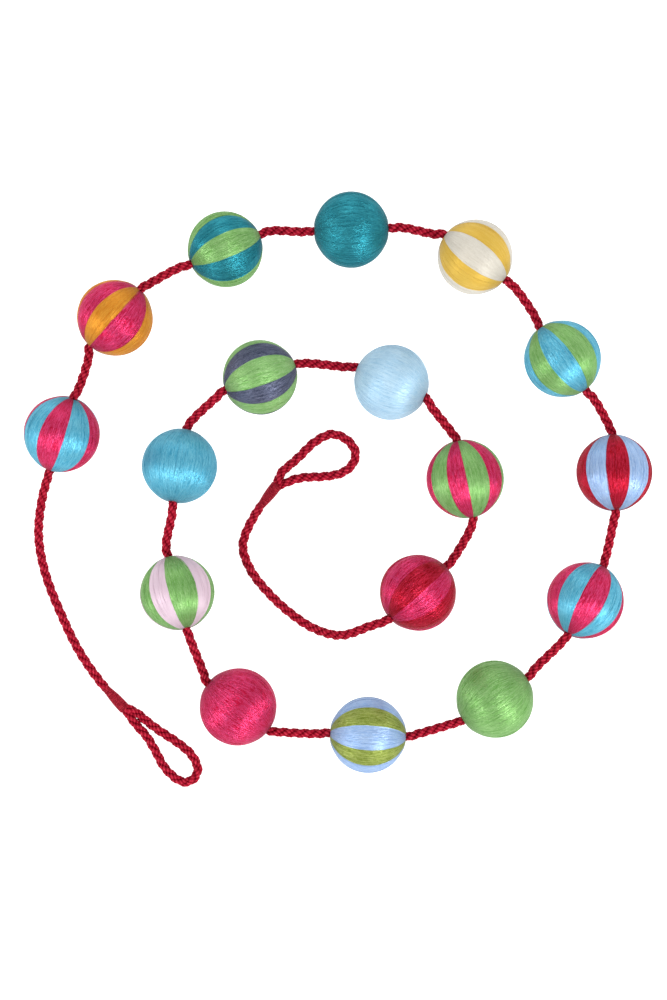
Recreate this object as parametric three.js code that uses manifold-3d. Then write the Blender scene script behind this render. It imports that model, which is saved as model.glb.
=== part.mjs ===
// Silk bauble garland: seventeen thread-wound balls on one twisted cord, laid flat in a spiral.
// Millimetres, +Z up. The origin is on the surface, under the middle of the baubles.
// A small loop at each end of the cord hangs the garland; here it lies down.
import * as THREE from 'three';
import Module from 'manifold-3d';
import { mergeVertices } from 'three/addons/utils/BufferGeometryUtils.js';

const wasm = await Module();
wasm.setup();

// Driving dimensions
const CORD_DIAMETER = 6;
const CORD_SIDES = 8;
const CORD_CLEARANCE = 0.4;
const WHIPPING_CLEARANCE = 0.5;
const CORD_SAG = 1.5;
const GAP_BEND = 1 / 16;
const FLAT_SPOT_DEPTH = 0.6;
const DIMPLE_DEPTH = 2;
const DIMPLE_ANGLE = 14;
const BAUBLE_SIDES = 20;
const BAUBLE_BANDS = 9;
const WHIPPING_SIDES = 10;
const FACE_GAP = 0.3;
const SURFACE_GAP = 0.1;
const MERGE_DISTANCE = 1e-4;

const SILK = {
  magenta: 0xc42d63,
  teal: 0x1f7d8f,
  yellow: 0xe3b93f,
  turquoise: 0x55b4cf,
  periwinkle: 0x9db8e8,
  green: 0x6cb45c,
  paleBlue: 0xa9cfec,
  red: 0xb3203a,
};
const CRIMSON = 0xa01530;
const ROUGHNESS = { silk: 0.4, cord: 0.65, whipping: 0.55 };

// The baubles in the order they are strung, from the outer end of the spiral to the inner one.
// x and y place the centre, heading is the way the cord runs through, counted anticlockwise from +X,
// and tilt is how far that end of the bore is raised, both in degrees.
const BAUBLES = [
  { x: -181.5, y: 32.0, diameter: 50.5, heading: 71, tilt: 10, silk: 'magenta' },
  { x: -146.5, y: 108.5, diameter: 50.5, heading: 48, tilt: 4, silk: 'magenta' },
  { x: -74.0, y: 153.5, diameter: 50.0, heading: 24, tilt: -8, silk: 'teal' },
  { x: 9.0, y: 166.5, diameter: 50.0, heading: 2, tilt: 0, silk: 'teal' },
  { x: 90.5, y: 148.5, diameter: 49.5, heading: -37, tilt: 1, silk: 'yellow' },
  { x: 148.0, y: 81.5, diameter: 51.0, heading: -54, tilt: -2, silk: 'turquoise' },
  { x: 182.0, y: 6.5, diameter: 50.0, heading: -88, tilt: 8, silk: 'periwinkle' },
  { x: 163.0, y: -77.5, diameter: 51.0, heading: -118, tilt: 10, silk: 'magenta' },
  { x: 103.5, y: -142.5, diameter: 51.0, heading: -147, tilt: 0, silk: 'green' },
  { x: 20.0, y: -166.0, diameter: 50.5, heading: 177, tilt: 1, silk: 'periwinkle' },
  { x: -65.5, y: -147.5, diameter: 51.0, heading: 142, tilt: 5, silk: 'magenta' },
  { x: -105.5, y: -72.5, diameter: 49.5, heading: 105, tilt: -8, silk: 'green' },
  { x: -104.0, y: 11.0, diameter: 49.5, heading: 80, tilt: -8, silk: 'turquoise' },
  { x: -51.0, y: 69.5, diameter: 49.5, heading: 20, tilt: -4, silk: 'green' },
  { x: 35.5, y: 66.0, diameter: 49.5, heading: -24, tilt: 8, silk: 'paleBlue' },
  { x: 84.0, y: 2.5, diameter: 51.0, heading: -78, tilt: -3, silk: 'green' },
  { x: 53.0, y: -72.5, diameter: 50.5, heading: -138, tilt: 10, silk: 'magenta' },
];

// The whippings: each starts narrow round the single cord and ends wide at the root of its loop.
const WHIPPINGS = {
  outer: { narrow: [-155.5, -134.0, 4.2], wide: [-143.0, -150.5, 4.8] },
  inner: { narrow: [-53.0, -16.0, 4.2], wide: [-41.8, 1.6, 4.8] },
};
const WHIPPING_PROFILE = [
  { along: 0, radius: 4 },
  { along: 0.3, radius: 4.3 },
  { along: 0.7, radius: 4.55 },
  { along: 1, radius: 4.45 },
];

// The height of the cord's middle where it lies on the surface.
const LAID = CORD_DIAMETER / 2 + SURFACE_GAP;

// The loose stretches of the cord, as the points that its middle passes, x y z.
// The outer loop runs from its tucked end, beside the whipping, round to the wide end of the whipping,
// and the inner loop the other way.
const OUTER_LOOP = [
  [-137.8, -146.8, 4.4],
  [-127.7, -156.3, LAID],
  [-105.0, -173.6, LAID],
  [-97.0, -180.8, LAID],
  [-92.9, -189.8, LAID],
  [-95.2, -196.2, LAID],
  [-101.3, -198.9, LAID],
  [-107.7, -196.2, LAID],
  [-115.4, -188.4, LAID],
  [-121.5, -177.5, LAID],
  [-128.0, -166.5, LAID],
  [-135.5, -158.3, LAID],
];
const OUTER_TAIL = [
  [-171.0, -113.0, LAID],
  [-184.0, -86.5, LAID],
  [-194.2, -60.0, LAID],
  [-198.4, -36.0, 5.4],
  [-195.6, -11.5, 13.0],
];
const INNER_TAIL = [
  [20.5, -94.6, 27.4],
  [2.2, -100.7, 18.6],
  [-15.5, -96.6, 9.4],
  [-31.0, -86.8, 4.2],
  [-46.0, -73.0, LAID],
  [-58.2, -57.0, LAID],
  [-62.9, -41.0, LAID],
];
const INNER_LOOP = [
  [-36.0, 8.8, LAID],
  [-25.6, 17.2, LAID],
  [-15.0, 27.2, LAID],
  [-4.0, 32.3, LAID],
  [6.2, 28.6, LAID],
  [11.8, 20.6, LAID],
  [10.2, 12.8, LAID],
  [3.2, 6.8, LAID],
  [-8.0, 4.3, LAID],
  [-29.5, 2.8, LAID],
  [-36.3, -1.7, 4.4],
];

const vector = ([x, y, z]) => new THREE.Vector3(x, y, z);
const radians = THREE.MathUtils.degToRad;

// The height of a bauble's centre over the surface that its flat spot rests on.
const centreHeight = ({ diameter }) => diameter / 2 - FLAT_SPOT_DEPTH;

// The way the cord runs through a bauble, as a unit vector.
function boreDirection({ heading, tilt }) {
  const level = Math.cos(radians(tilt));
  const east = Math.cos(radians(heading)) * level;
  const north = Math.sin(radians(heading)) * level;
  return new THREE.Vector3(east, north, Math.sin(radians(tilt)));
}

// Where the cord enters a bauble (end -1) or leaves it (end 1).
function pole(bauble, end) {
  const centre = new THREE.Vector3(bauble.x, bauble.y, centreHeight(bauble));
  return centre.addScaledVector(boreDirection(bauble), (end * bauble.diameter) / 2);
}

// The middle of the cord between two neighbouring baubles: a smooth bend from bore to bore, with a sag.
function betweenBaubles(before, after) {
  const start = pole(before, 1);
  const end = pole(after, -1);
  const span = start.distanceTo(end);
  const bend = boreDirection(before).sub(boreDirection(after)).multiplyScalar(span * GAP_BEND);
  const middle = start.add(end).multiplyScalar(0.5).add(bend);
  middle.z -= CORD_SAG;
  return middle;
}

// A curve that is stepped from one of its points to the next, so that each point is a section.
class StrungRoute extends THREE.CatmullRomCurve3 {
  getUtoTmapping(u) {
    return u;
  }
}

function cordRoute() {
  const route = OUTER_LOOP.map(vector);
  route.push(vector(WHIPPINGS.outer.wide), vector(WHIPPINGS.outer.narrow));
  route.push(...OUTER_TAIL.map(vector));
  BAUBLES.forEach((bauble, i) => {
    route.push(pole(bauble, -1), pole(bauble, 1));
    if (i < BAUBLES.length - 1) {
      route.push(betweenBaubles(bauble, BAUBLES[i + 1]));
    }
  });
  route.push(...INNER_TAIL.map(vector));
  route.push(vector(WHIPPINGS.inner.narrow), vector(WHIPPINGS.inner.wide));
  route.push(...INNER_LOOP.map(vector));
  return route;
}

function cordGeometry() {
  const route = cordRoute();
  const section = new THREE.Shape();
  for (let i = 0; i < CORD_SIDES; i += 1) {
    const turn = (2 * Math.PI * i) / CORD_SIDES;
    const corner = [(CORD_DIAMETER / 2) * Math.cos(turn), (CORD_DIAMETER / 2) * Math.sin(turn)];
    if (i === 0) {
      section.moveTo(...corner);
    } else {
      section.lineTo(...corner);
    }
  }
  section.closePath();
  return new THREE.ExtrudeGeometry(section, {
    steps: route.length - 1,
    extrudePath: new StrungRoute(route, false, 'centripetal'),
  });
}

function solidOf(geometry) {
  const bare = geometry.clone();
  bare.deleteAttribute('normal');
  bare.deleteAttribute('uv');
  const merged = mergeVertices(bare, MERGE_DISTANCE);
  return new wasm.Manifold(new wasm.Mesh({
    numProp: 3,
    vertProperties: new Float32Array(merged.attributes.position.array),
    triVerts: new Uint32Array(merged.index.array),
  }));
}

function geometryOf(solid) {
  const { vertProperties, triVerts } = solid.getMesh();
  const geometry = new THREE.BufferGeometry();
  geometry.setAttribute('position', new THREE.BufferAttribute(vertProperties, 3));
  geometry.setIndex(new THREE.BufferAttribute(triVerts, 1));
  return geometry;
}

// A wound ball: nearly a sphere, drawn in at the two ends of its bore, with a flat spot underneath.
// It is made with the bore along X and raised by the tilt, and its mesh turns it to its heading.
function baubleGeometry({ diameter, tilt }) {
  const radius = diameter / 2;
  const boreRadius = CORD_DIAMETER / 2 + CORD_CLEARANCE;
  const mouth = radius - DIMPLE_DEPTH;
  const outline = [new THREE.Vector2(boreRadius, -mouth)];
  for (let band = 0; band <= BAUBLE_BANDS; band += 1) {
    const angle = radians(180 - DIMPLE_ANGLE - ((180 - 2 * DIMPLE_ANGLE) * band) / BAUBLE_BANDS);
    outline.push(new THREE.Vector2(radius * Math.sin(angle), radius * Math.cos(angle)));
  }
  outline.push(new THREE.Vector2(boreRadius, mouth), outline[0].clone());
  const ball = new THREE.LatheGeometry(outline, BAUBLE_SIDES, Math.PI / BAUBLE_SIDES);
  ball.rotateZ(-Math.PI / 2);
  ball.rotateY(-radians(tilt));
  const below = new THREE.BoxGeometry(diameter, diameter, radius);
  below.translate(0, 0, -centreHeight({ diameter }) - radius / 2);
  return geometryOf(solidOf(ball).subtract(solidOf(below)));
}

// A whipping: a tapered sleeve of wound thread round the cord, made along +Y from its narrow end.
function whippingGeometry({ narrow, wide }) {
  const length = vector(narrow).distanceTo(vector(wide)) - 2 * FACE_GAP;
  const inside = CORD_DIAMETER / 2 + WHIPPING_CLEARANCE;
  const outline = WHIPPING_PROFILE.map(
    ({ along, radius }) => new THREE.Vector2(radius, FACE_GAP + along * length),
  );
  outline.push(new THREE.Vector2(inside, FACE_GAP + length), new THREE.Vector2(inside, FACE_GAP));
  outline.push(outline[0].clone());
  return new THREE.LatheGeometry(outline, WHIPPING_SIDES);
}

function mesh(name, geometry, color, roughness) {
  const material = new THREE.MeshStandardMaterial({ color, roughness, metalness: 0 });
  const made = new THREE.Mesh(geometry, material);
  made.name = name;
  return made;
}

const garland = new THREE.Group();

BAUBLES.forEach((bauble, i) => {
  const name = `bauble_${String(i + 1).padStart(2, '0')}`;
  const ball = mesh(name, baubleGeometry(bauble), SILK[bauble.silk], ROUGHNESS.silk);
  ball.position.set(bauble.x, bauble.y, centreHeight(bauble));
  ball.rotation.z = radians(bauble.heading);
  garland.add(ball);
});

garland.add(mesh('cord', cordGeometry(), CRIMSON, ROUGHNESS.cord));

Object.entries(WHIPPINGS).forEach(([end, ends]) => {
  const whipping = mesh(`whipping_${end}`, whippingGeometry(ends), CRIMSON, ROUGHNESS.whipping);
  const along = vector(ends.wide).sub(vector(ends.narrow)).normalize();
  whipping.position.copy(vector(ends.narrow));
  whipping.quaternion.setFromUnitVectors(new THREE.Vector3(0, 1, 0), along);
  garland.add(whipping);
});

export default garland;
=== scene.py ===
import math

import bpy
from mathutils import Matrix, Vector


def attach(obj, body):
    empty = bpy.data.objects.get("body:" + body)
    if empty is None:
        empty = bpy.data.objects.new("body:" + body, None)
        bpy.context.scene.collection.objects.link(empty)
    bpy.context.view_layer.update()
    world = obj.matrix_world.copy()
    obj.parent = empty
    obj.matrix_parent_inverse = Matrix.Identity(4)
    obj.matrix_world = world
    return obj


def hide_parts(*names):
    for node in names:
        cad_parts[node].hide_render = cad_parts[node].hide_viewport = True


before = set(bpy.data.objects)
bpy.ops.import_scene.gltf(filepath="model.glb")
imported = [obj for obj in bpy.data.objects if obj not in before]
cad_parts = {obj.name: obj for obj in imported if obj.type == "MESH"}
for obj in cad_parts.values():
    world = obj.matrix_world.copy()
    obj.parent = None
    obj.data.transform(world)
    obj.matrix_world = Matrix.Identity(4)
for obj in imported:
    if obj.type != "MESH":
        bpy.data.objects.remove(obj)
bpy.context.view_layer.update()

# The camera looks straight down on the spiral from a little over two metres,
# so that each ball is seen almost from above, with its threads and both of its poles.
lens = bpy.data.cameras.new("overhead")
lens.sensor_width = 36.0
lens.lens = 119.0
camera = bpy.data.objects.new("overhead", lens)
camera.location = (-0.0027, -0.0114, 2.2)
bpy.context.scene.collection.objects.link(camera)
bpy.context.scene.camera = camera
bpy.context.scene.view_settings.view_transform = "Standard"


# The cord: three strands of crimson yarn laid up into one soft 6 mm rope, a little over two metres
# long. It runs through all the balls, and each end is turned back into a small hanging loop.
MM = 0.001
CORD_SAG = 1.2  # between two balls, mm
LAID = 3.5  # height of the cord's middle where it lies down, mm
FLAT_SPOT = 0.6  # how much of a ball its flat spot takes off, mm

# The balls in the order they are strung: middle of the ball (x, y), diameter, the way the cord
# runs through it, how far that end of the bore is raised, and how far to the right the cord bows
# at one and at three quarters of its way to the next ball, in millimetres and degrees.
STRUNG = [
    (-181.5, 32.0, 50.5, 71, 10, 1.6, 2.5),
    (-146.5, 108.5, 50.5, 48, 4, 0.3, -1),
    (-74.0, 153.5, 50.0, 24, -8, -1.2, 0.3),
    (9.0, 166.5, 50.0, 2, 0, -0.7, 1.9),
    (90.5, 148.5, 49.5, -37, 1, -1.3, -1.5),
    (148.0, 81.5, 51.0, -54, -2, -1.4, -0.2),
    (182.0, 6.5, 50.0, -88, 8, 0.6, 0.2),
    (163.0, -77.5, 51.0, -118, 10, 0.3, 1.4),
    (103.5, -142.5, 51.0, -147, 0, 0.7, 0.8),
    (20.0, -166.0, 50.5, 177, 1, -0.4, 0.8),
    (-65.5, -147.5, 51.0, 142, 5, 1.4, 0.4),
    (-105.5, -72.5, 49.5, 105, -8, -1, 0.6),
    (-104.0, 11.0, 49.5, 80, -8, 0.3, 1.1),
    (-51.0, 69.5, 49.5, 20, -4, 0.3, 1.4),
    (35.5, 66.0, 49.5, -24, 8, 2.1, 1.1),
    (84.0, 2.5, 51.0, -78, -3, -0.2, -0.1),
    (53.0, -72.5, 50.5, -138, 10, 0, 0),
]

# The whippings, from the narrow end on the single cord to the wide end at the root of the loop.
OUTER_WHIPPING = (Vector((-155.0, -135.4, 3.9)), Vector((-141.2, -150.2, 4.3)))
INNER_WHIPPING = (Vector((-52.2, -16.8, 3.9)), Vector((-40.4, -1.6, 4.3)))

OUTER_LOOP = [
    (-146.0, -144.6, 4.4),
    (-139.0, -149.6, 4.4),
    (-132.7, -153.4, 4.0),
    (-126.2, -158.8, LAID),
    (-119.3, -164.0, LAID),
    (-105.0, -173.6, LAID),
    (-97.0, -180.8, LAID),
    (-92.9, -189.8, LAID),
    (-95.2, -196.2, LAID),
    (-101.3, -198.9, LAID),
    (-107.7, -196.2, LAID),
    (-115.4, -188.4, LAID),
    (-121.2, -177.8, LAID),
    (-127.0, -168.3, LAID),
    (-134.0, -160.4, LAID),
    (-138.2, -154.6, 3.8),
]
OUTER_TAIL = [
    (-171.0, -113.0, LAID),
    (-184.0, -86.5, LAID),
    (-194.2, -60.0, LAID),
    (-198.4, -36.0, 5.4),
    (-195.6, -11.5, 13.0),
]
INNER_TAIL = [
    (20.5, -94.6, 27.4),
    (2.2, -100.7, 18.6),
    (-15.5, -96.6, 9.4),
    (-31.0, -86.8, 4.2),
    (-46.0, -73.0, LAID),
    (-58.2, -57.0, LAID),
    (-62.9, -41.0, LAID),
]
INNER_LOOP = [
    (-39.0, 3.2, 4.1),
    (-36.4, 7.8, LAID),
    (-31.6, 11.9, LAID),
    (-25.6, 17.2, LAID),
    (-15.0, 27.2, LAID),
    (-4.0, 32.3, LAID),
    (6.2, 28.6, LAID),
    (11.8, 20.6, LAID),
    (10.2, 12.8, LAID),
    (3.2, 6.8, LAID),
    (-8.0, 4.3, LAID),
    (-22.7, 3.5, LAID),
    (-30.6, 1.6, LAID),
    (-36.6, -1.3, 3.9),
    (-43.0, -5.6, 4.4),
]


def bore_way(ball):
    """The way the cord runs through a ball."""
    heading, tilt = math.radians(ball[3]), math.radians(ball[4])
    level = math.cos(tilt)
    return Vector((math.cos(heading) * level, math.sin(heading) * level, math.sin(tilt)))


def ball_middle(ball):
    """The middle of a ball that rests on its flat spot."""
    x, y, diameter = ball[:3]
    return Vector((x, y, diameter / 2 - FLAT_SPOT))


def pole(ball, end):
    """Where the cord enters a ball (end -1) or leaves it (end 1)."""
    return ball_middle(ball) + bore_way(ball) * (end * ball[2] / 2)


def strung_route():
    """The points the cord passes, and for each stretch that starts at one how it is covered."""
    points, covers = [], []

    def pass_by(point, cover="open"):
        points.append(Vector(point))
        covers.append(cover)

    for point in OUTER_LOOP:
        pass_by(point)
    pass_by(OUTER_WHIPPING[1], "whipped")
    pass_by(OUTER_WHIPPING[0])
    for point in OUTER_TAIL:
        pass_by(point)
    for i, ball in enumerate(STRUNG):
        pass_by(pole(ball, -1), "threaded")
        pass_by(pole(ball, 1))
        if i + 1 < len(STRUNG):
            start, end = pole(ball, 1), pole(STRUNG[i + 1], -1)
            out, into = bore_way(ball), bore_way(STRUNG[i + 1])
            right = (end - start).cross(Vector((0, 0, 1))).normalized()
            for share, bow in ((0.25, ball[5]), (0.75, ball[6])):
                left = 1 - share
                along = start * (left * left * (1 + 2 * share)) + end * (share * share * (1 + 2 * left))
                swing = (out * left - into * share) * (share * left * (end - start).length / 2)
                pass_by(along + swing + right * bow - Vector((0, 0, CORD_SAG)))
    for point in INNER_TAIL:
        pass_by(point)
    pass_by(INNER_WHIPPING[0], "whipped")
    pass_by(INNER_WHIPPING[1])
    for point in INNER_LOOP:
        pass_by(point)
    return points, covers


def eased_point(around, share):
    """A point on the smooth line through the middle two of four points."""
    a, b, c, d = around
    s, t, u = [max((q - p).length, 1e-6) ** 0.5 for p, q in ((a, b), (b, c), (c, d))]
    start = ((b - a) / s - (c - a) / (s + t) + (c - b) / t) * t
    end = ((c - b) / t - (d - b) / (t + u) + (d - c) / u) * t
    bend = (c - b) * 3 - start * 2 - end
    twist = (b - c) * 2 + start + end
    return b + start * share + bend * share**2 + twist * share**3


IN_BORE = 0.88  # how full the rope is inside a ball
WHIPPED_IN = 0.3  # how much of its fullness a whipping takes


def cord_stations(fine, coarse, mouth):
    """The middle of the cord at close steps, each with how full the rope is there."""
    points, covers = strung_route()
    ends = [points[0] * 2 - points[1], points[-1] * 2 - points[-2]]
    padded = [ends[0], *points, ends[1]]
    stations = []
    for i, cover in enumerate(covers[:-1]):
        around = padded[i : i + 4]
        span = (points[i + 1] - points[i]).length
        if cover == "threaded":
            rim = round(mouth / fine)
            shares = [k * fine / span for k in range(rim)]
            inner = round((span - 2 * mouth) / coarse)
            shares += [(mouth + (span - 2 * mouth) * k / inner) / span for k in range(inner + 1)]
            shares += [1 - k * fine / span for k in range(rim - 1, 0, -1)]
        else:
            count = max(2, round(span / fine))
            shares = [k / count for k in range(count)]
        for share in shares:
            fullness = IN_BORE if cover == "threaded" else 1.0
            if cover == "whipped":
                fullness = 1 - WHIPPED_IN * min(1, 5 * share, 5 * (1 - share))
            stations.append((eased_point(around, share), fullness))
    stations.append((points[-1], 1.0))
    return stations


FINE_STEP = 0.35
stations = cord_stations(fine=FINE_STEP, coarse=3.2, mouth=4.0)
TUCKED = 12.0  # the thinned length at each end of the cord, mm
spots = [spot * MM for spot, fullness in stations]
runs = [0.0]
for before, after in zip(spots, spots[1:]):
    runs.append(runs[-1] + (after - before).length)
cord_length = runs[-1]
# The length over which the yarns keep their twist: they lie straight inside the balls.
twisted = [0.0]
for before, after in zip(runs, runs[1:]):
    twisted.append(twisted[-1] + (after - before if after - before < 2 * FINE_STEP * MM else 0.0))
fullnesses = []
for run, (spot, fullness) in zip(runs, stations):
    from_end = min(run, cord_length - run) / (TUCKED * MM)
    fullnesses.append(fullness * min(1.0, 0.5 + 0.5 * from_end))
fullnesses[0] = fullnesses[-1] = 0.0

# A frame that turns no more than the cord itself bends, carried along station by station.
aheads = []
for i in range(len(spots)):
    aheads.append((spots[min(i + 1, len(spots) - 1)] - spots[max(i - 1, 0)]).normalized())
side = aheads[0].cross(Vector((0, 0, 1))).normalized()
sides = []
for ahead in aheads:
    side = (side - ahead * side.dot(ahead)).normalized()
    sides.append(side.copy())


class Wire:
    """A socket of a node tree. Arithmetic on it adds Math nodes to that tree."""

    def __init__(self, tree, socket=None):
        self.tree = tree
        self.socket = socket

    def node(self, kind, settings, sockets, out=0):
        """Adds a node, sets it up, fills or links its sockets, and gives one of its outputs."""
        made = self.tree.nodes.new(kind)
        for name, value in settings.items():
            if name == "stops":
                ramp = made.color_ramp
                while len(ramp.elements) < len(value):
                    ramp.elements.new(1.0)
                for element, (position, color) in zip(ramp.elements, value):
                    element.position = position
                    element.color = color
            elif name == "ramp":
                made.color_ramp.interpolation = value
            else:
                setattr(made, name, value)
        for name, value in sockets.items():
            for part in value if isinstance(value, list) else [value]:
                if isinstance(part, Wire):
                    self.tree.links.new(part.socket, made.inputs[name])
                else:
                    made.inputs[name].default_value = part
        return Wire(self.tree, made.outputs[out] if len(made.outputs) else None)

    def other(self, out):
        """Another output of the same node."""
        return Wire(self.tree, self.socket.node.outputs[out])

    def math(self, operation, *others):
        """The result of an operation on this value and any others, in that order."""
        values = dict(enumerate((self, *others)))
        return self.node("ShaderNodeMath", {"operation": operation}, values)

    def __add__(self, other):
        return self.math("ADD", other)

    def __sub__(self, other):
        return self.math("SUBTRACT", other)

    def __rsub__(self, other):
        return self.node("ShaderNodeMath", {"operation": "SUBTRACT"}, {0: other, 1: self})

    def __mul__(self, other):
        return self.math("MULTIPLY", other)

    def __truediv__(self, other):
        return self.math("DIVIDE", other)

    __radd__ = __add__
    __rmul__ = __mul__


def combined(x, y, z=0.0):
    """A vector from its three parts, of which the first is a wire."""
    return x.node("ShaderNodeCombineXYZ", {}, {0: x, 1: y, 2: z})


def noise(x, y, z=None, detail=1.0):
    """Noise between 0 and 1 over two or three wires."""
    return x.node(
        "ShaderNodeTexNoise",
        {"noise_dimensions": "2D" if z is None else "3D"},
        {"Vector": combined(x, y, 0.0 if z is None else z), "Scale": 1.0, "Detail": detail},
    )


def growing_tree(name, sizes):
    """A geometry tree with named inputs. Gives its group input and the identifier of each."""
    tree = bpy.data.node_groups.new(name, "GeometryNodeTree")
    tree.interface.new_socket(name="Geometry", in_out="INPUT", socket_type="NodeSocketGeometry")
    tree.interface.new_socket(name="Geometry", in_out="OUTPUT", socket_type="NodeSocketGeometry")
    identifiers = {}
    for size, kind in sizes.items():
        made = tree.interface.new_socket(name=size, in_out="INPUT", socket_type="NodeSocket" + kind)
        identifiers[size] = made.identifier
    given = Wire(tree).node("NodeGroupInput", {}, {}, "Geometry")
    return given, identifiers


def finish_tree(shape, given):
    """Ends a tree in real faces with their material on them."""
    real = shape.node("GeometryNodeRealizeInstances", {}, {"Geometry": shape})
    clad = real.node(
        "GeometryNodeSetMaterial", {}, {"Geometry": real, "Material": given.other("Material")}
    )
    clad.node("NodeGroupOutput", {"is_active_output": True}, {"Geometry": clad})


def grown(name, guide, tree, identifiers, values):
    """Runs a tree on a guide mesh and keeps the result as a plain mesh at the origin."""
    seed = bpy.data.objects.new(name + "_guide", guide)
    bpy.context.scene.collection.objects.link(seed)
    modifier = seed.modifiers.new(name, "NODES")
    modifier.node_group = tree
    for size, value in values.items():
        modifier[identifiers[size]] = value
    ready = seed.evaluated_get(bpy.context.evaluated_depsgraph_get())
    mesh = bpy.data.meshes.new_from_object(ready)
    mesh.name = name
    seed.modifiers.remove(modifier)
    bpy.data.objects.remove(seed)
    bpy.data.meshes.remove(guide)
    piece = bpy.data.objects.new(name, mesh)
    bpy.context.scene.collection.objects.link(piece)
    return piece


def sampled(given, kind, name, index):
    """A named attribute of the guide mesh, read at one of its points."""
    if name == "position":
        value = given.node("GeometryNodeInputPosition", {}, {})
    else:
        value = given.node("GeometryNodeInputNamedAttribute", {"data_type": kind}, {"Name": name})
    return given.node(
        "GeometryNodeSampleIndex",
        {"data_type": kind, "domain": "POINT"},
        {"Geometry": given, "Value": value, "Index": index},
    )


def with_map(shape, name, u, v):
    """Stores a map on a sheet, so that its material can follow the threads."""
    return shape.node(
        "GeometryNodeStoreNamedAttribute",
        {"data_type": "FLOAT2", "domain": "CORNER"},
        {"Geometry": shape, "Name": name, "Value": combined(u, v)},
    )


def seams_closed(shape):
    """Joins the points of a sheet that meet."""
    return shape.node(
        "GeometryNodeMergeByDistance", {}, {"Geometry": shape, "Distance": 0.000002}
    )


def vector_sum(first, *others):
    """Adds vectors, each given as (vector, how much of it)."""
    total = first
    for vector, amount in others:
        scaled = vector.node(
            "ShaderNodeVectorMath", {"operation": "SCALE"}, {"Vector": vector, "Scale": amount}
        )
        total = scaled.node("ShaderNodeVectorMath", {"operation": "ADD"}, {0: total, 1: scaled})
    return total


def crossed(first, second):
    """The direction square to two others."""
    made = first.node(
        "ShaderNodeVectorMath", {"operation": "CROSS_PRODUCT"}, {0: first, 1: second}
    )
    return made.node("ShaderNodeVectorMath", {"operation": "NORMALIZE"}, {0: made})


def laid_rope_tree():
    """Strands laid round a line, each ribbed by its own yarns, which are twisted the other way."""
    given, identifiers = growing_tree(
        "laid_rope",
        {
            "Stations": "Int",
            "Strands": "Int",
            "Lay length": "Float",
            "Strand offset": "Float",
            "Strand radius": "Float",
            "Yarns": "Int",
            "Yarn twist": "Float",
            "Yarn relief": "Float",
            "Unevenness": "Float",
            "Material": "Material",
        },
    )
    stations_in, yarns = given.other("Stations"), given.other("Yarns")
    sheet = given.node(
        "GeometryNodeMeshGrid",
        {},
        {"Size X": 1.0, "Size Y": 1.0, "Vertices X": stations_in, "Vertices Y": yarns * 3 + 1},
    )
    strand = sheet.node("GeometryNodeGeometryToInstance", {}, {0: sheet})
    strands = strand.node(
        "GeometryNodeDuplicateElements",
        {"domain": "INSTANCE"},
        {"Geometry": strand, "Amount": given.other("Strands")},
    )
    numbered = strands.node(
        "GeometryNodeStoreNamedAttribute",
        {"data_type": "FLOAT", "domain": "INSTANCE"},
        {"Geometry": strands, "Name": "strand", "Value": strands.other("Duplicate Index")},
    )
    flat = numbered.node("GeometryNodeRealizeInstances", {}, {"Geometry": numbered})
    place = given.node("GeometryNodeInputPosition", {}, {})
    across = place.node("ShaderNodeSeparateXYZ", {}, {0: place})
    around = across.other("Y") + 0.5
    station = ((across + 0.5) * (stations_in - 1)).math("ROUND")
    number = given.node("GeometryNodeInputNamedAttribute", {"data_type": "FLOAT"}, {"Name": "strand"})

    middle = sampled(given, "FLOAT_VECTOR", "position", station)
    ahead = sampled(given, "FLOAT_VECTOR", "ahead", station)
    aside = sampled(given, "FLOAT_VECTOR", "side", station)
    run = sampled(given, "FLOAT", "run", station)
    twisted = sampled(given, "FLOAT", "twisted", station)
    fullness = sampled(given, "FLOAT", "fullness", station)

    lay = given.other("Lay length")
    phase = run / lay * math.tau + number / given.other("Strands") * math.tau
    cos, sin = phase.math("COSINE"), phase.math("SINE")
    upward = crossed(ahead, aside)
    outward = vector_sum(vector_sum(aside, (aside, cos - 1)), (upward, sin))
    sweep = vector_sum(vector_sum(aside, (aside, sin * -1 - 1)), (upward, cos))
    offset = given.other("Strand offset") * fullness
    leading = vector_sum(ahead, (sweep, offset / lay * math.tau))
    beside = crossed(leading, outward)

    turn = around * math.tau - twisted / given.other("Yarn twist") * math.tau
    rib = (around * yarns * math.tau).math("COSINE")
    ring = around * math.tau
    # Each strand swells and thins a little on its way.
    waver = noise(run * 160.0, number * 31.0 + ring.math("COSINE") * 0.4, ring.math("SINE") * 0.4)
    radius = given.other("Strand radius") * fullness * (
        rib * given.other("Yarn relief") + (waver - 0.5) * given.other("Unevenness") + 1
    )
    laid = vector_sum(
        middle,
        (outward, offset + radius * turn.math("COSINE")),
        (beside, radius * turn.math("SINE")),
    )
    mapped = with_map(flat, "UVMap", around + number, run * 100.0)
    # The Crown map says how far each point of a strand faces away from the rope's middle; the yarn's
    # colour uses it for painted shade between the strands.
    crowned = with_map(mapped, "Crown", turn.math("COSINE") * 0.5 + 0.5, 0.5)
    formed = crowned.node("GeometryNodeSetPosition", {}, {"Geometry": crowned, "Position": laid})
    closed = seams_closed(formed)
    outside = closed.node("GeometryNodeFlipFaces", {}, {0: closed})
    smooth = outside.node("GeometryNodeSetShadeSmooth", {}, {"Geometry": outside})
    finish_tree(smooth, given)
    return given.tree, identifiers


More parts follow.
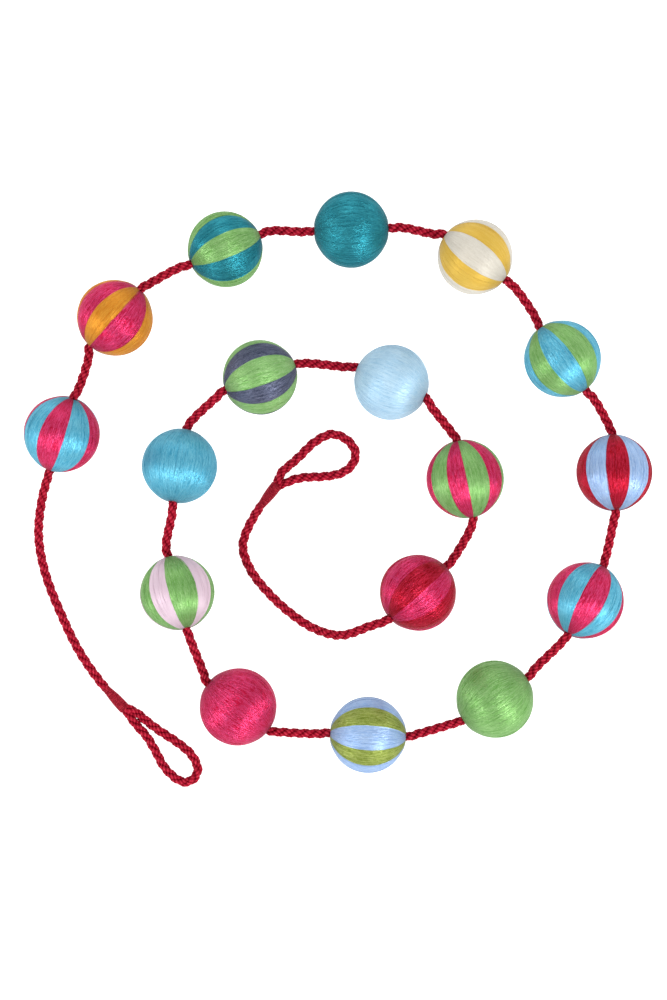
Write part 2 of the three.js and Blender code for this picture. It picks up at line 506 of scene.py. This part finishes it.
def crimson_yarn():
    """Mercerised crimson yarn: fine fibres along each yarn, painted shade in the grooves and painted
    light on the crests, a low sheen.
    """
    material = bpy.data.materials.new("crimson_cord_yarn")
    material.use_nodes = True
    tree = material.node_tree
    shader = tree.nodes["Principled BSDF"]
    uv = Wire(tree).node("ShaderNodeUVMap", {"uv_map": "UVMap"}, {})
    parts = uv.node("ShaderNodeSeparateXYZ", {}, {0: uv})
    around, along = parts, parts.other("Y")
    fibre = noise(around * 90.0, along * 9.0, detail=2.0)
    patch = noise(around * 6.0, along * 1.4, detail=2.0)
    # Painted shade and light: the colour is darker in the grooves between the yarns and between the
    # strands, lighter on their crests.
    crest = (around * 2 * math.tau).math("COSINE") * 0.5 + 0.5
    crown = uv.node("ShaderNodeUVMap", {"uv_map": "Crown"}, {})
    crown = crown.node("ShaderNodeSeparateXYZ", {}, {0: crown})
    tone_and_painted_light = crest * 0.45 + crown * 0.55 + (fibre - 0.5) * 0.8 + (patch - 0.5) * 0.9 - 0.2
    shade = tone_and_painted_light.node(
        "ShaderNodeValToRGB",
        {
            "stops": [
                (0.0, (0.13, 0.0006, 0.006, 1)),
                (0.45, (0.31, 0.004, 0.018, 1)),
                (1.0, (0.62, 0.04, 0.075, 1)),
            ]
        },
        {0: tone_and_painted_light},
    )
    relief = shade.node(
        "ShaderNodeBump", {}, {"Strength": 1.0, "Distance": 0.00012, "Height": fibre + crest * 0.6}
    )
    for name, value in {"Base Color": shade, "Roughness": 0.55 - crest * 0.15, "Normal": relief}.items():
        tree.links.new(value.socket, shader.inputs[name])
    shader.inputs["Metallic"].default_value = 0.35
    shader.inputs["Specular IOR Level"].default_value = 0.1
    shader.inputs["Specular Tint"].default_value = (0.9, 0.4, 0.5, 1)
    return material


cord_guide = bpy.data.meshes.new("cord_line")
cord_guide.from_pydata(spots, [(i, i + 1) for i in range(len(spots) - 1)], [])
for name, kind, values in (
    ("ahead", "FLOAT_VECTOR", aheads),
    ("side", "FLOAT_VECTOR", sides),
    ("run", "FLOAT", runs),
    ("twisted", "FLOAT", twisted),
    ("fullness", "FLOAT", fullnesses),
):
    layer = cord_guide.attributes.new(name, kind, "POINT")
    if kind == "FLOAT":
        layer.data.foreach_set("value", values)
    else:
        layer.data.foreach_set("vector", [part for vector in values for part in vector])

rope_tree, rope_inputs = laid_rope_tree()
cord = grown(
    "cord_laid",
    cord_guide,
    rope_tree,
    rope_inputs,
    {
        "Stations": len(spots),
        "Strands": 3,
        "Lay length": -0.0205,
        "Strand offset": 0.00153,
        "Strand radius": 0.00172,
        "Yarns": 2,
        "Yarn twist": -0.0035,
        "Yarn relief": 0.07,
        "Unevenness": 0.12,
        "Material": crimson_yarn(),
    },
)
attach(cord, "root")
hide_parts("cord")


# The whippings: crimson silk thread wound tightly, turn beside turn, over the cord and the
# turned-back end of its loop, narrow on the single cord and wide where the two run together.
def whipping_tree():
    """A tapering sleeve with a ridge for each turn of its thread, closed down on both ends."""
    given, identifiers = growing_tree(
        "wound_whipping",
        {
            "Length": "Float",
            "Narrow radius": "Float",
            "Wide radius": "Float",
            "Turns": "Int",
            "Thread relief": "Float",
            "Place": "Vector",
            "Lie": "Vector",
            "Material": "Material",
        },
    )
    turns = given.other("Turns")
    # Four rows of points to a turn of thread, and one more at either end to close it.
    rows = turns * 4
    sheet = given.node(
        "GeometryNodeMeshGrid",
        {},
        {"Size X": 1.0, "Size Y": 1.0, "Vertices X": rows + 3, "Vertices Y": 29},
    )
    place = given.node("GeometryNodeInputPosition", {}, {})
    across = place.node("ShaderNodeSeparateXYZ", {}, {0: place})
    row = ((across + 0.5) * (rows + 2)).math("ROUND")
    share = ((row - 1) / rows).math("MAXIMUM", 0.0).math("MINIMUM", 1.0)
    closing = row.math("LESS_THAN", 0.5) + row.math("GREATER_THAN", rows + 1.5)
    around = across.other("Y") + 0.5
    belly = share.node(
        "ShaderNodeMapRange",
        {"interpolation_type": "SMOOTHERSTEP"},
        {
            "Value": share,
            "From Min": -0.15,
            "From Max": 0.8,
            "To Min": given.other("Narrow radius"),
            "To Max": given.other("Wide radius"),
        },
    )
    # The first and last turns close down on to the cord.
    rim = (share * (1 - share) * 26.0).math("MINIMUM", 1.0)
    winding = (share * turns + around) * math.tau
    angle = around * math.tau
    lump = noise(share * 7.0, angle.math("COSINE"), angle.math("SINE"), detail=2.0)
    radius = belly * (rim * 0.22 + 0.78) * ((lump - 0.5) * 0.10 + 1)
    radius = (radius + winding.math("COSINE") * given.other("Thread relief")) * (1 - closing)
    wound = combined(
        share * given.other("Length"), radius * angle.math("COSINE"), radius * angle.math("SINE")
    )
    mapped = with_map(sheet, "UVMap", around, share)
    formed = mapped.node("GeometryNodeSetPosition", {}, {"Geometry": mapped, "Position": wound})
    closed = seams_closed(formed)
    outside = closed.node("GeometryNodeFlipFaces", {}, {0: closed})
    laid = outside.node(
        "GeometryNodeTransform",
        {},
        {"Geometry": outside, "Translation": given.other("Place"), "Rotation": given.other("Lie")},
    )
    smooth = laid.node("GeometryNodeSetShadeSmooth", {}, {"Geometry": laid})
    finish_tree(smooth, given)
    return given.tree, identifiers


def whipping_silk(turns):
    """Crimson silk thread, one turn beside the next."""
    material = bpy.data.materials.new("crimson_whipping_silk")
    material.use_nodes = True
    tree = material.node_tree
    shader = tree.nodes["Principled BSDF"]
    uv = Wire(tree).node("ShaderNodeUVMap", {"uv_map": "UVMap"}, {})
    parts = uv.node("ShaderNodeSeparateXYZ", {}, {0: uv})
    around, share = parts, parts.other("Y")
    winding = share * turns + around
    mottle = noise(around * 5.0, winding * 2.0, detail=3.0)
    # Painted shade between the turns: the colour is lighter on each turn's ridge and darker between
    # them, over a random mottle.
    ridge = (winding * math.tau).math("COSINE") * 0.5 + 0.5
    tone_and_painted_light = ridge * 0.3 + (mottle - 0.5) * 2.6 + 0.35
    shade = tone_and_painted_light.node(
        "ShaderNodeValToRGB",
        {
            "stops": [
                (0.0, (0.10, 0.001, 0.006, 1)),
                (0.5, (0.26, 0.007, 0.020, 1)),
                (1.0, (0.52, 0.045, 0.065, 1)),
            ]
        },
        {0: tone_and_painted_light},
    )
    relief = shade.node(
        "ShaderNodeBump", {}, {"Strength": 1.0, "Distance": 0.00016, "Height": ridge * 0.6 + mottle}
    )
    for name, value in {"Base Color": shade, "Roughness": 0.5 - ridge * 0.1, "Normal": relief}.items():
        tree.links.new(value.socket, shader.inputs[name])
    shader.inputs["Metallic"].default_value = 0.5
    shader.inputs["Specular IOR Level"].default_value = 0.1
    shader.inputs["Specular Tint"].default_value = (0.9, 0.4, 0.5, 1)
    return material


WHIPPING_TURNS = 44
whipped = whipping_silk(WHIPPING_TURNS)
winding_tree, winding_inputs = whipping_tree()
for name, (narrow, wide) in (("outer", OUTER_WHIPPING), ("inner", INNER_WHIPPING)):
    reach = wide - narrow
    stub = bpy.data.meshes.new("whipping_line")
    stub.from_pydata([(0, 0, 0), (1, 0, 0)], [(0, 1)], [])
    whipping = grown(
        f"whipping_{name}_wound",
        stub,
        winding_tree,
        winding_inputs,
        {
            "Length": reach.length * MM + 0.0012,
            "Narrow radius": 0.0024,
            "Wide radius": 0.0038,
            "Turns": WHIPPING_TURNS,
            "Thread relief": 0.00005,
            "Place": (narrow - reach.normalized() * 0.6) * MM,
            "Lie": Vector(reach.to_track_quat("X", "Z").to_euler()),
            "Material": whipped,
        },
    )
    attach(whipping, "root")
    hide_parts(f"whipping_{name}")


# The balls: light cores wound over with floss silk from pole to pole, which piles up in a low collar
# round each mouth of the cord's hole. Twelve have gores of a second silk, wound over the first in
# bands, and five are of one silk. Each is strung on the cord and rests on a small flat spot.

# Each silk's colour, how much its threads differ in depth, and its gloss.
SILKS = {
    "magenta": (0.614, 0.033, 0.13, 1.18, 0.72),
    "turquoise": (0.122, 0.455, 0.603, 0.55, 0.55),
    "orange": (0.645, 0.283, 0.026, 0.3, 0.45),
    "teal": (0.0218, 0.246, 0.308, 0.42, 0.78),
    "green": (0.232, 0.45, 0.151, 0.45, 0.5),
    "lime": (0.278, 0.502, 0.189, 0.45, 0.48),
    "yellow": (0.675, 0.468, 0.08, 0.09, 0.2),
    "ivory": (0.65, 0.616, 0.545, 0.18, 0.15),
    "periwinkle": (0.361, 0.504, 0.733, 0.46, 0.5),
    "red": (0.443, 0.0093, 0.031, 0.95, 0.68),
    "olive": (0.3, 0.365, 0.08, 0.76, 0.5),
    "pink": (0.685, 0.552, 0.628, 0.09, 0.2),
    "navy": (0.108, 0.123, 0.192, 0.5, 0.6),
    "pale_blue": (0.444, 0.633, 0.768, 0.42, 0.26),
}

# For each ball its slot, the length of its axis as a share of its girth's diameter, the silk wound
# on last, which stands a little proud, and its gores: where each starts, in degrees round the
# axis from the top, and its silk.
WOUND = [
    ("silk_magenta", 0.99, "turquoise", [
        (-153, "turquoise"), (-112, "magenta"), (-71, "turquoise"), (-30, "magenta"),
        (9, "turquoise"), (51, "magenta"), (97, "turquoise"), (137, "magenta"),
    ]),
    ("silk_magenta", 0.98, "orange", [
        (-151, "magenta"), (-111, "orange"), (-71, "magenta"), (-29, "orange"), (3, "magenta"),
        (49, "orange"), (96, "magenta"), (140, "orange"),
    ]),
    ("silk_teal", 0.98, "green", [
        (-161, "green"), (-127, "teal"), (-94, "green"), (-56, "teal"), (-21, "green"),
        (17, "teal"), (61, "green"), (97, "teal"), (131, "green"), (165, "teal"),
    ]),
    ("silk_teal", 0.98, "teal", [(-180, "teal")]),
    ("silk_yellow", 0.985, "ivory", [
        (-148, "yellow"), (-104, "ivory"), (-59, "yellow"), (-21, "ivory"), (22, "yellow"),
        (63, "ivory"), (111, "yellow"), (157, "ivory"),
    ]),
    ("silk_turquoise", 0.99, "green", [
        (-157, "turquoise"), (-124, "green"), (-90, "turquoise"), (-51, "green"),
        (-12, "turquoise"), (24, "green"), (59, "turquoise"), (101, "green"), (135, "turquoise"),
        (169, "green"),
    ]),
    ("silk_periwinkle", 1, "red", [
        (-164, "red"), (-129, "periwinkle"), (-95, "red"), (-62, "periwinkle"),
        (-21, "red"), (16, "periwinkle"), (51, "red"), (93, "periwinkle"), (127, "red"),
        (162, "periwinkle"),
    ]),
    ("silk_magenta", 0.985, "turquoise", [
        (-165, "magenta"), (-132, "turquoise"), (-98, "magenta"), (-61, "turquoise"),
        (-25, "magenta"), (14, "turquoise"), (48, "magenta"), (94, "turquoise"), (128, "magenta"),
        (161, "turquoise"),
    ]),
    ("silk_green", 0.987, "green", [(-180, "green")]),
    ("silk_periwinkle", 0.99, "olive", [
        (-159, "periwinkle"), (-124, "olive"), (-89, "periwinkle"), (-50, "olive"),
        (-20, "periwinkle"), (17, "olive"), (50, "periwinkle"), (96, "olive"), (131, "periwinkle"),
        (166, "olive"),
    ]),
    ("silk_magenta", 0.985, "magenta", [(-180, "magenta")]),
    ("silk_green", 0.985, "pink", [
        (-157, "green"), (-121, "pink"), (-81, "green"), (-43, "pink"), (-10, "green"), (34, "pink"),
        (68, "green"), (99, "pink"), (133, "green"), (169, "pink"),
    ]),
    ("silk_turquoise", 0.985, "turquoise", [(-180, "turquoise")]),
    ("silk_green", 0.985, "navy", [
        (-168, "lime"), (-132, "navy"), (-96, "lime"), (-61, "navy"), (-29, "lime"),
        (15, "navy"), (46, "lime"), (84, "navy"), (120, "lime"), (156, "navy"),
    ]),
    ("silk_pale_blue", 0.985, "pale_blue", [(-180, "pale_blue")]),
    ("silk_green", 1.008, "magenta", [
        (-174, "green"), (-140, "magenta"), (-104, "green"), (-69, "magenta"), (-36, "green"),
        (-1, "magenta"), (29, "green"), (62, "magenta"), (100, "green"), (142, "magenta"),
    ]),
    ("silk_magenta", 0.99, "red", [
        (-146, "red"), (-110, "magenta"), (-73, "red"), (-35, "magenta"), (-2, "red"),
        (34, "magenta"), (78, "red"), (116, "magenta"), (152, "red"), (180, "magenta"),
    ]),
]


def wound_ball_tree():
    """A ball swept round its bore, ridged along its threads, with loose threads laid over it."""
    given, identifiers = growing_tree(
        "wound_ball",
        {
            "Columns": "Int",
            "Bands": "Int",
            "Radius": "Float",
            "Axis share": "Float",
            "Mouth radius": "Float",
            "Mouth angle": "Float",
            "Hollow": "Float",
            "Collar": "Float",
            "Ridge height": "Float",
            "Threads": "Int",
            "Thread radius": "Float",
            "Seed": "Float",
            "Place": "Vector",
            "Lie": "Vector",
            "Material": "Material",
        },
    )
    columns, bands = given.other("Columns"), given.other("Bands")
    radius, seed = given.other("Radius"), given.other("Seed")
    mouth_angle = given.other("Mouth angle")
    axis = radius * given.other("Axis share")

    def eased_in(girth, outer, inner, height):
        """A height that grows smoothly between two distances to the axis, in mouth radii."""
        return girth.node(
            "ShaderNodeMapRange",
            {"interpolation_type": "SMOOTHSTEP"},
            {
                "Value": girth,
                "From Min": given.other("Mouth radius") * outer,
                "From Max": given.other("Mouth radius") * inner,
                "To Min": 0.0,
                "To Max": height,
            },
        )

    def on_ball(polar, east, up, lift):
        """A point over the surface at an angle from the first pole and a direction round it."""
        cos, sin = polar.math("COSINE"), polar.math("SINE")
        girth = (radius + lift) * sin
        height = (axis + lift) * cos
        collar = eased_in(girth, 5.0, 3.0, given.other("Collar"))
        sunk = eased_in(girth, 1.6, 0.9, given.other("Hollow"))
        height = height * (1 + (collar - sunk) / axis)
        return combined(height * -1, girth * east, girth * up)

    sheet = given.node(
        "GeometryNodeMeshGrid",
        {},
        {"Size X": 1.0, "Size Y": 1.0, "Vertices X": columns + 1, "Vertices Y": bands + 1},
    )
    place = given.node("GeometryNodeInputPosition", {}, {})
    across = place.node("ShaderNodeSeparateXYZ", {}, {0: place})
    number = ((across + 0.5) * columns).math("ROUND")
    column = number.math("MODULO", columns)
    way = sampled(given, "FLOAT_VECTOR", "position", column)
    way = way.node("ShaderNodeSeparateXYZ", {}, {0: way})
    east, up = way.other("Y"), way.other("Z")
    relief = sampled(given, "FLOAT", "relief", column)
    turn = sampled(given, "FLOAT", "turn", column) + number.math("GREATER_THAN", columns - 0.5)
    band = ((across.other("Y") + 0.5) * bands).math("ROUND")
    share = ((band - 1) / (bands - 2)).math("MINIMUM", 1.0).math("MAXIMUM", 0.0)
    inside = band.math("LESS_THAN", 0.5) + band.math("GREATER_THAN", bands - 0.5)
    polar = mouth_angle + share * (math.pi - mouth_angle * 2)

    def unevenness(around, along, detail):
        """How far the threads lie above or below the others: much alike from pole to pole."""
        return noise(east * around + seed, up * around, share * along, detail) - 0.5

    ridges = unevenness(26.0, 2.4, 1.0) * 1.5 + unevenness(5.0, 1.6, 0.0) * 0.4
    lift = (ridges * given.other("Ridge height") + relief) * polar.math("SINE")
    rows = on_ball(polar, east, up, lift)
    rim = rows.node("ShaderNodeSeparateXYZ", {}, {0: rows})
    # The first and last rows meet on the axis, deep in the bore.
    tucked = combined(
        rim * (1 - inside) - inside * axis * polar.math("COSINE") * 0.8,
        rim.other("Y") * (1 - inside),
        rim.other("Z") * (1 - inside),
    )
    mapped = with_map(sheet, "UVMap", turn, share)
    formed = mapped.node("GeometryNodeSetPosition", {}, {"Geometry": mapped, "Position": tucked})
    ball = seams_closed(formed)

    # Loose threads: each starts and ends at its own share of the way and lies a little askew.
    row = given.node("GeometryNodeMeshLine", {}, {"Count": given.other("Threads")})
    line = given.node("GeometryNodeCurvePrimitiveLine", {}, {})
    fine = line.node("GeometryNodeResampleCurve", {}, {"Curve": line, "Count": 20})
    copies = row.node("GeometryNodeInstanceOnPoints", {}, {"Points": row, "Instance": fine})
    counted = copies.node(
        "GeometryNodeStoreNamedAttribute",
        {"data_type": "FLOAT", "domain": "INSTANCE"},
        {"Geometry": copies, "Name": "thread", "Value": given.node("GeometryNodeInputIndex", {}, {})},
    )
    lines = counted.node("GeometryNodeRealizeInstances", {}, {"Geometry": counted})
    thread = given.node("GeometryNodeInputNamedAttribute", {"data_type": "FLOAT"}, {"Name": "thread"})

    def chance(salt):
        """A number between 0 and 1 that each thread has to itself."""
        return thread.node(
            "ShaderNodeTexWhiteNoise", {"noise_dimensions": "1D"}, {"W": thread + seed * 3.7 + salt}
        )

    step = given.node("GeometryNodeSplineParameter", {}, {})
    begun, ended = chance(0.31) * 0.4, 1 - chance(0.47) * 0.4
    passed = begun + (ended - begun) * step
    home = chance(0.11)
    bearing = (home + (chance(0.73) - 0.5) * (passed - 0.5) * 0.05) * math.tau - math.pi
    lean = mouth_angle * 1.3 + passed * (math.pi - mouth_angle * 2.6)
    guide = on_ball(lean, bearing.math("SINE") * -1, bearing.math("COSINE"), 0.0)
    nearest = guide.node(
        "GeometryNodeProximity", {"target_element": "FACES"}, {0: ball, "Sample Position": guide}
    )
    # Each lies a little proud of the ball along its middle and dips under at both ends.
    ends = (step - 0.5) * (step - 0.5) * 4
    dip = 0.6 - ends * ends * ends * 2.4
    lifted = nearest.node(
        "ShaderNodeVectorMath",
        {"operation": "SCALE"},
        {"Vector": nearest, "Scale": 1 + (given.other("Thread radius") * dip) / radius},
    )
    marked = lines.node(
        "GeometryNodeStoreNamedAttribute",
        {"data_type": "FLOAT_VECTOR", "domain": "POINT"},
        {"Geometry": lines, "Name": "lay", "Value": combined(home, passed)},
    )
    strewn = marked.node("GeometryNodeSetPosition", {}, {"Geometry": marked, "Position": lifted})
    round_end = given.node(
        "GeometryNodeCurvePrimitiveCircle",
        {},
        {"Resolution": 4, "Radius": given.other("Thread radius")},
    )
    tubes = strewn.node(
        "GeometryNodeCurveToMesh",
        {},
        {"Curve": strewn, "Profile Curve": round_end, "Fill Caps": True},
    )
    lay = given.node("GeometryNodeInputNamedAttribute", {"data_type": "FLOAT_VECTOR"}, {"Name": "lay"})
    tubes = tubes.node(
        "GeometryNodeStoreNamedAttribute",
        {"data_type": "FLOAT2", "domain": "CORNER"},
        {"Geometry": tubes, "Name": "UVMap", "Value": lay},
    )
    whole = ball.node("GeometryNodeJoinGeometry", {}, {0: [ball, tubes]})
    laid = whole.node(
        "GeometryNodeTransform",
        {},
        {"Geometry": whole, "Translation": given.other("Place"), "Rotation": given.other("Lie")},
    )
    resting = place.node("ShaderNodeSeparateXYZ", {}, {0: place})
    floor_height = resting.other("Z").math("SMOOTH_MAX", 0.00002, 0.0004)
    flattened = combined(resting, resting.other("Y"), floor_height)
    rested = laid.node("GeometryNodeSetPosition", {}, {"Geometry": laid, "Position": flattened})
    smooth = rested.node("GeometryNodeSetShadeSmooth", {}, {"Geometry": rested})
    finish_tree(smooth, given)
    return given.tree, identifiers


COLUMN_WIDTH = 1.62  # of threads that lie alike, in degrees round the ball
SEAM = 0.3  # from a seam to the first column on either side, in degrees
SEAM_DEPTH = 0.0005
CROWN = 0.00028  # how much the middle of a gore is piled up over its seams
PROUD = 0.00022  # how much higher the silk wound on last lies


def gore_ring(gores, proud_silk):
    """The columns of threads round a ball, close together at each seam, and how proud each is."""
    ring = bpy.data.meshes.new("gore_ring")
    starts = [start for start, silk in gores]
    columns = []
    if len(gores) == 1:
        count = round(360 / COLUMN_WIDTH)
        columns = [(starts[0] + 360 * k / count, 0.0) for k in range(count)]
        gores = []
    for (start, silk), end in zip(gores, [*starts[1:], starts[0] + 360]):
        proud = PROUD if silk == proud_silk else 0.0
        width = end - start
        count = max(2, round(width / COLUMN_WIDTH))
        for k in range(count + 1):
            angle = start + SEAM + (width - 2 * SEAM) * k / count
            crown = CROWN * abs(math.sin(math.pi * k / count)) ** 0.7 * min(1.0, width / 36)
            columns.append((angle, proud + crown - SEAM_DEPTH))
    columns = sorted(((angle + 180) % 360, relief) for angle, relief in columns)
    places = []
    for turned, relief in columns:
        angle = math.radians(turned - 180)
        places.append((0.0, -math.sin(angle), math.cos(angle)))
    ring.from_pydata(places, [], [])
    layer = ring.attributes.new("turn", "FLOAT", "POINT")
    layer.data.foreach_set("value", [turned / 360 for turned, relief in columns])
    layer = ring.attributes.new("relief", "FLOAT", "POINT")
    layer.data.foreach_set("value", [relief for turned, relief in columns])
    return ring


def floss_silk(name, gores, seed):
    """Untwisted silk: colour by gore, fine threads from pole to pole that throw a band of light."""
    material = bpy.data.materials.new(name)
    material.use_nodes = True
    tree = material.node_tree
    shader = tree.nodes["Principled BSDF"]
    uv = Wire(tree).node("ShaderNodeUVMap", {"uv_map": "UVMap"}, {})
    parts = uv.node("ShaderNodeSeparateXYZ", {}, {0: uv})
    turn, share = parts, parts.other("Y")

    def threads(around, along, detail, skew=0.0):
        """Shades that differ much round the ball and little from pole to pole."""
        return noise((turn + (share - 0.5) * skew) * around + seed, share * along, detail=detail)

    fine = threads(520.0, 24.0, 1.0)
    glint = threads(560.0, 150.0, 1.0)
    crossing = threads(430.0, 30.0, 0.0, skew=0.035)
    streaks = threads(220.0, 8.0, 1.0)
    yarns = threads(120.0, 5.0, 1.0)
    drift = threads(14.0, 3.0, 1.0)
    stray = threads(150.0, 9.0, 0.0)
    spans = sorted(((start + 180) % 360 / 360, SILKS[silk]) for start, silk in gores)
    if spans[0][0] > 0:
        spans.insert(0, (0.0, spans[-1][1]))
    spot = turn + (stray - 0.5) * 0.0022
    stops = [(start, silk[:4]) for start, silk in spans]
    gore = uv.node("ShaderNodeValToRGB", {"stops": stops, "ramp": "CONSTANT"}, {0: spot})
    depth = gore.other("Alpha") * 1.3
    stops = [(start, (1, 1, 1, silk[4])) for start, silk in spans]
    gloss = uv.node("ShaderNodeValToRGB", {"stops": stops, "ramp": "CONSTANT"}, {0: spot})
    gloss = gloss.other("Alpha")
    # The grain: the threads' own uneven tone, partly painted glints and painted shade between threads.
    grain = (fine - 0.5) + (glint - 0.5) * 1.7 + (crossing - 0.5) * 0.8 + (streaks - 0.5) * 1.4
    tone_and_painted_light = grain * depth + (yarns - 0.5) * 0.35 + (drift - 0.5) * 0.25 + 0.5
    # In the colour the grain runs from a deeper version of the silk, painted shade between the threads,
    # to a paler one, painted glints on them. Light that has passed from thread to thread is deeper in
    # colour, the more so in dark silk.
    deep = uv.node("ShaderNodeGamma", {}, {"Color": gore, "Gamma": 1.7})
    pale = uv.node("ShaderNodeGamma", {}, {"Color": gore, "Gamma": 0.82})
    level = tone_and_painted_light.math("MAXIMUM", 0.0).math("MINIMUM", 1.0)
    shade = uv.node("ShaderNodeMix", {"data_type": "RGBA"}, {0: level, 6: deep, 7: pale}, out=2)
    # Painted shade: the colour is darkened towards each pole, where the threads crowd together and shade
    # one another.
    crowded = share.math("MINIMUM", 1 - share)
    painted_pole_shade = crowded.node(
        "ShaderNodeMapRange",
        {},
        {"Value": crowded, "From Min": 0.0, "From Max": 0.25, "To Min": 0.62, "To Max": 1.0},
    )
    shade = uv.node(
        "ShaderNodeVectorMath", {"operation": "SCALE"}, {"Vector": shade, "Scale": painted_pole_shade}
    )
    ridges = fine * 0.6 + glint * 0.15 + crossing * 0.15 + streaks * 0.2 + yarns * 0.4
    relief = uv.node(
        "ShaderNodeBump",
        {},
        {"Strength": 1.0, "Distance": 0.0005, "Height": ridges * (depth * 0.25 + 0.5)},
    )
    for socket, value in {
        "Base Color": shade,
        "Roughness": 0.46 - gloss * 0.1 - level * 0.08,
        "Metallic": gloss,
        "Normal": relief,
    }.items():
        tree.links.new(value.socket, shader.inputs[socket])
    shader.inputs["Specular IOR Level"].default_value = 0.1
    shader.inputs["Specular Tint"].default_value = (0.4, 0.4, 0.4, 1)
    shader.inputs["Sheen Weight"].default_value = 0.03
    shader.inputs["Sheen Roughness"].default_value = 0.4
    return material


MOUTH = 0.0027  # radius of the hole, where the silk closes in on the cord
ball_tree, ball_inputs = wound_ball_tree()
for i, (strung, (slot, share, proud, gores)) in enumerate(zip(STRUNG, WOUND), start=1):
    diameter, heading, tilt = strung[2:5]
    ring = gore_ring(gores, proud)
    radius = diameter / 2 * MM
    ball = grown(
        f"bauble_{i:02d}_wound",
        ring,
        ball_tree,
        ball_inputs,
        {
            "Columns": len(ring.vertices),
            "Bands": 72,
            "Radius": radius,
            "Axis share": share,
            "Mouth radius": MOUTH,
            "Mouth angle": math.asin(MOUTH / radius),
            "Hollow": 0.0007,
            "Collar": 0.0003,
            "Ridge height": 0.000045,
            "Threads": 60,
            "Thread radius": 0.0001,
            "Seed": float(i * 7),
            "Place": ball_middle(strung) * MM,
            "Lie": (0.0, -math.radians(tilt), math.radians(heading)),
            "Material": floss_silk(f"floss_silk_{i:02d}", gores, i * 13.0),
        },
    )
    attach(ball, "root")
    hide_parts(f"bauble_{i:02d}")


# The floor: a plain white sheet on a light table, which runs out of sight all round and is lit
# from below as well, so that next to no shadow shows on it.
card = bpy.data.meshes.new("white_card")
card.from_pydata([(-4, -4, 0), (4, -4, 0), (4, 4, 0), (-4, 4, 0)], [], [(0, 1, 2, 3)])
floor = bpy.data.objects.new("white_card", card)
bpy.context.scene.collection.objects.link(floor)
white = bpy.data.materials.new("white_card")
white.use_nodes = True
card_shader = white.node_tree.nodes["Principled BSDF"]
card_shader.inputs["Base Color"].default_value = (0.3, 0.3, 0.3, 1)
card_shader.inputs["Roughness"].default_value = 0.9
card_shader.inputs["Emission Color"].default_value = (1, 1, 1, 1)
card_shader.inputs["Emission Strength"].default_value = 1.15
card.materials.append(white)

# The studio light: three soft boxes well away from the table, the strongest at its lower right, and
# an even white room. Silk shows each of them as a band of light across its threads.
for name, azimuth, lift, power, size in (
    ("box_left", -156, 33, 27.0, 0.9),
    ("box_right", -42, 38, 42.0, 0.9),
    ("box_top", 94, 25, 14.0, 1.6),
):
    lamp = bpy.data.lights.new(name, "AREA")
    lamp.energy = power
    lamp.size = size
    box = bpy.data.objects.new(name, lamp)
    level, turn = math.cos(math.radians(lift)), math.radians(azimuth)
    way = Vector((math.cos(turn) * level, math.sin(turn) * level, math.sin(math.radians(lift))))
    box.location = way * 2.5
    box.rotation_euler = way.to_track_quat("Z", "Y").to_euler()
    bpy.context.scene.collection.objects.link(box)
room = bpy.data.worlds.new("white_room")
room.use_nodes = True
room.node_tree.nodes["Background"].inputs["Color"].default_value = (1, 1, 1, 1)
room.node_tree.nodes["Background"].inputs["Strength"].default_value = 0.75
bpy.context.scene.world = room
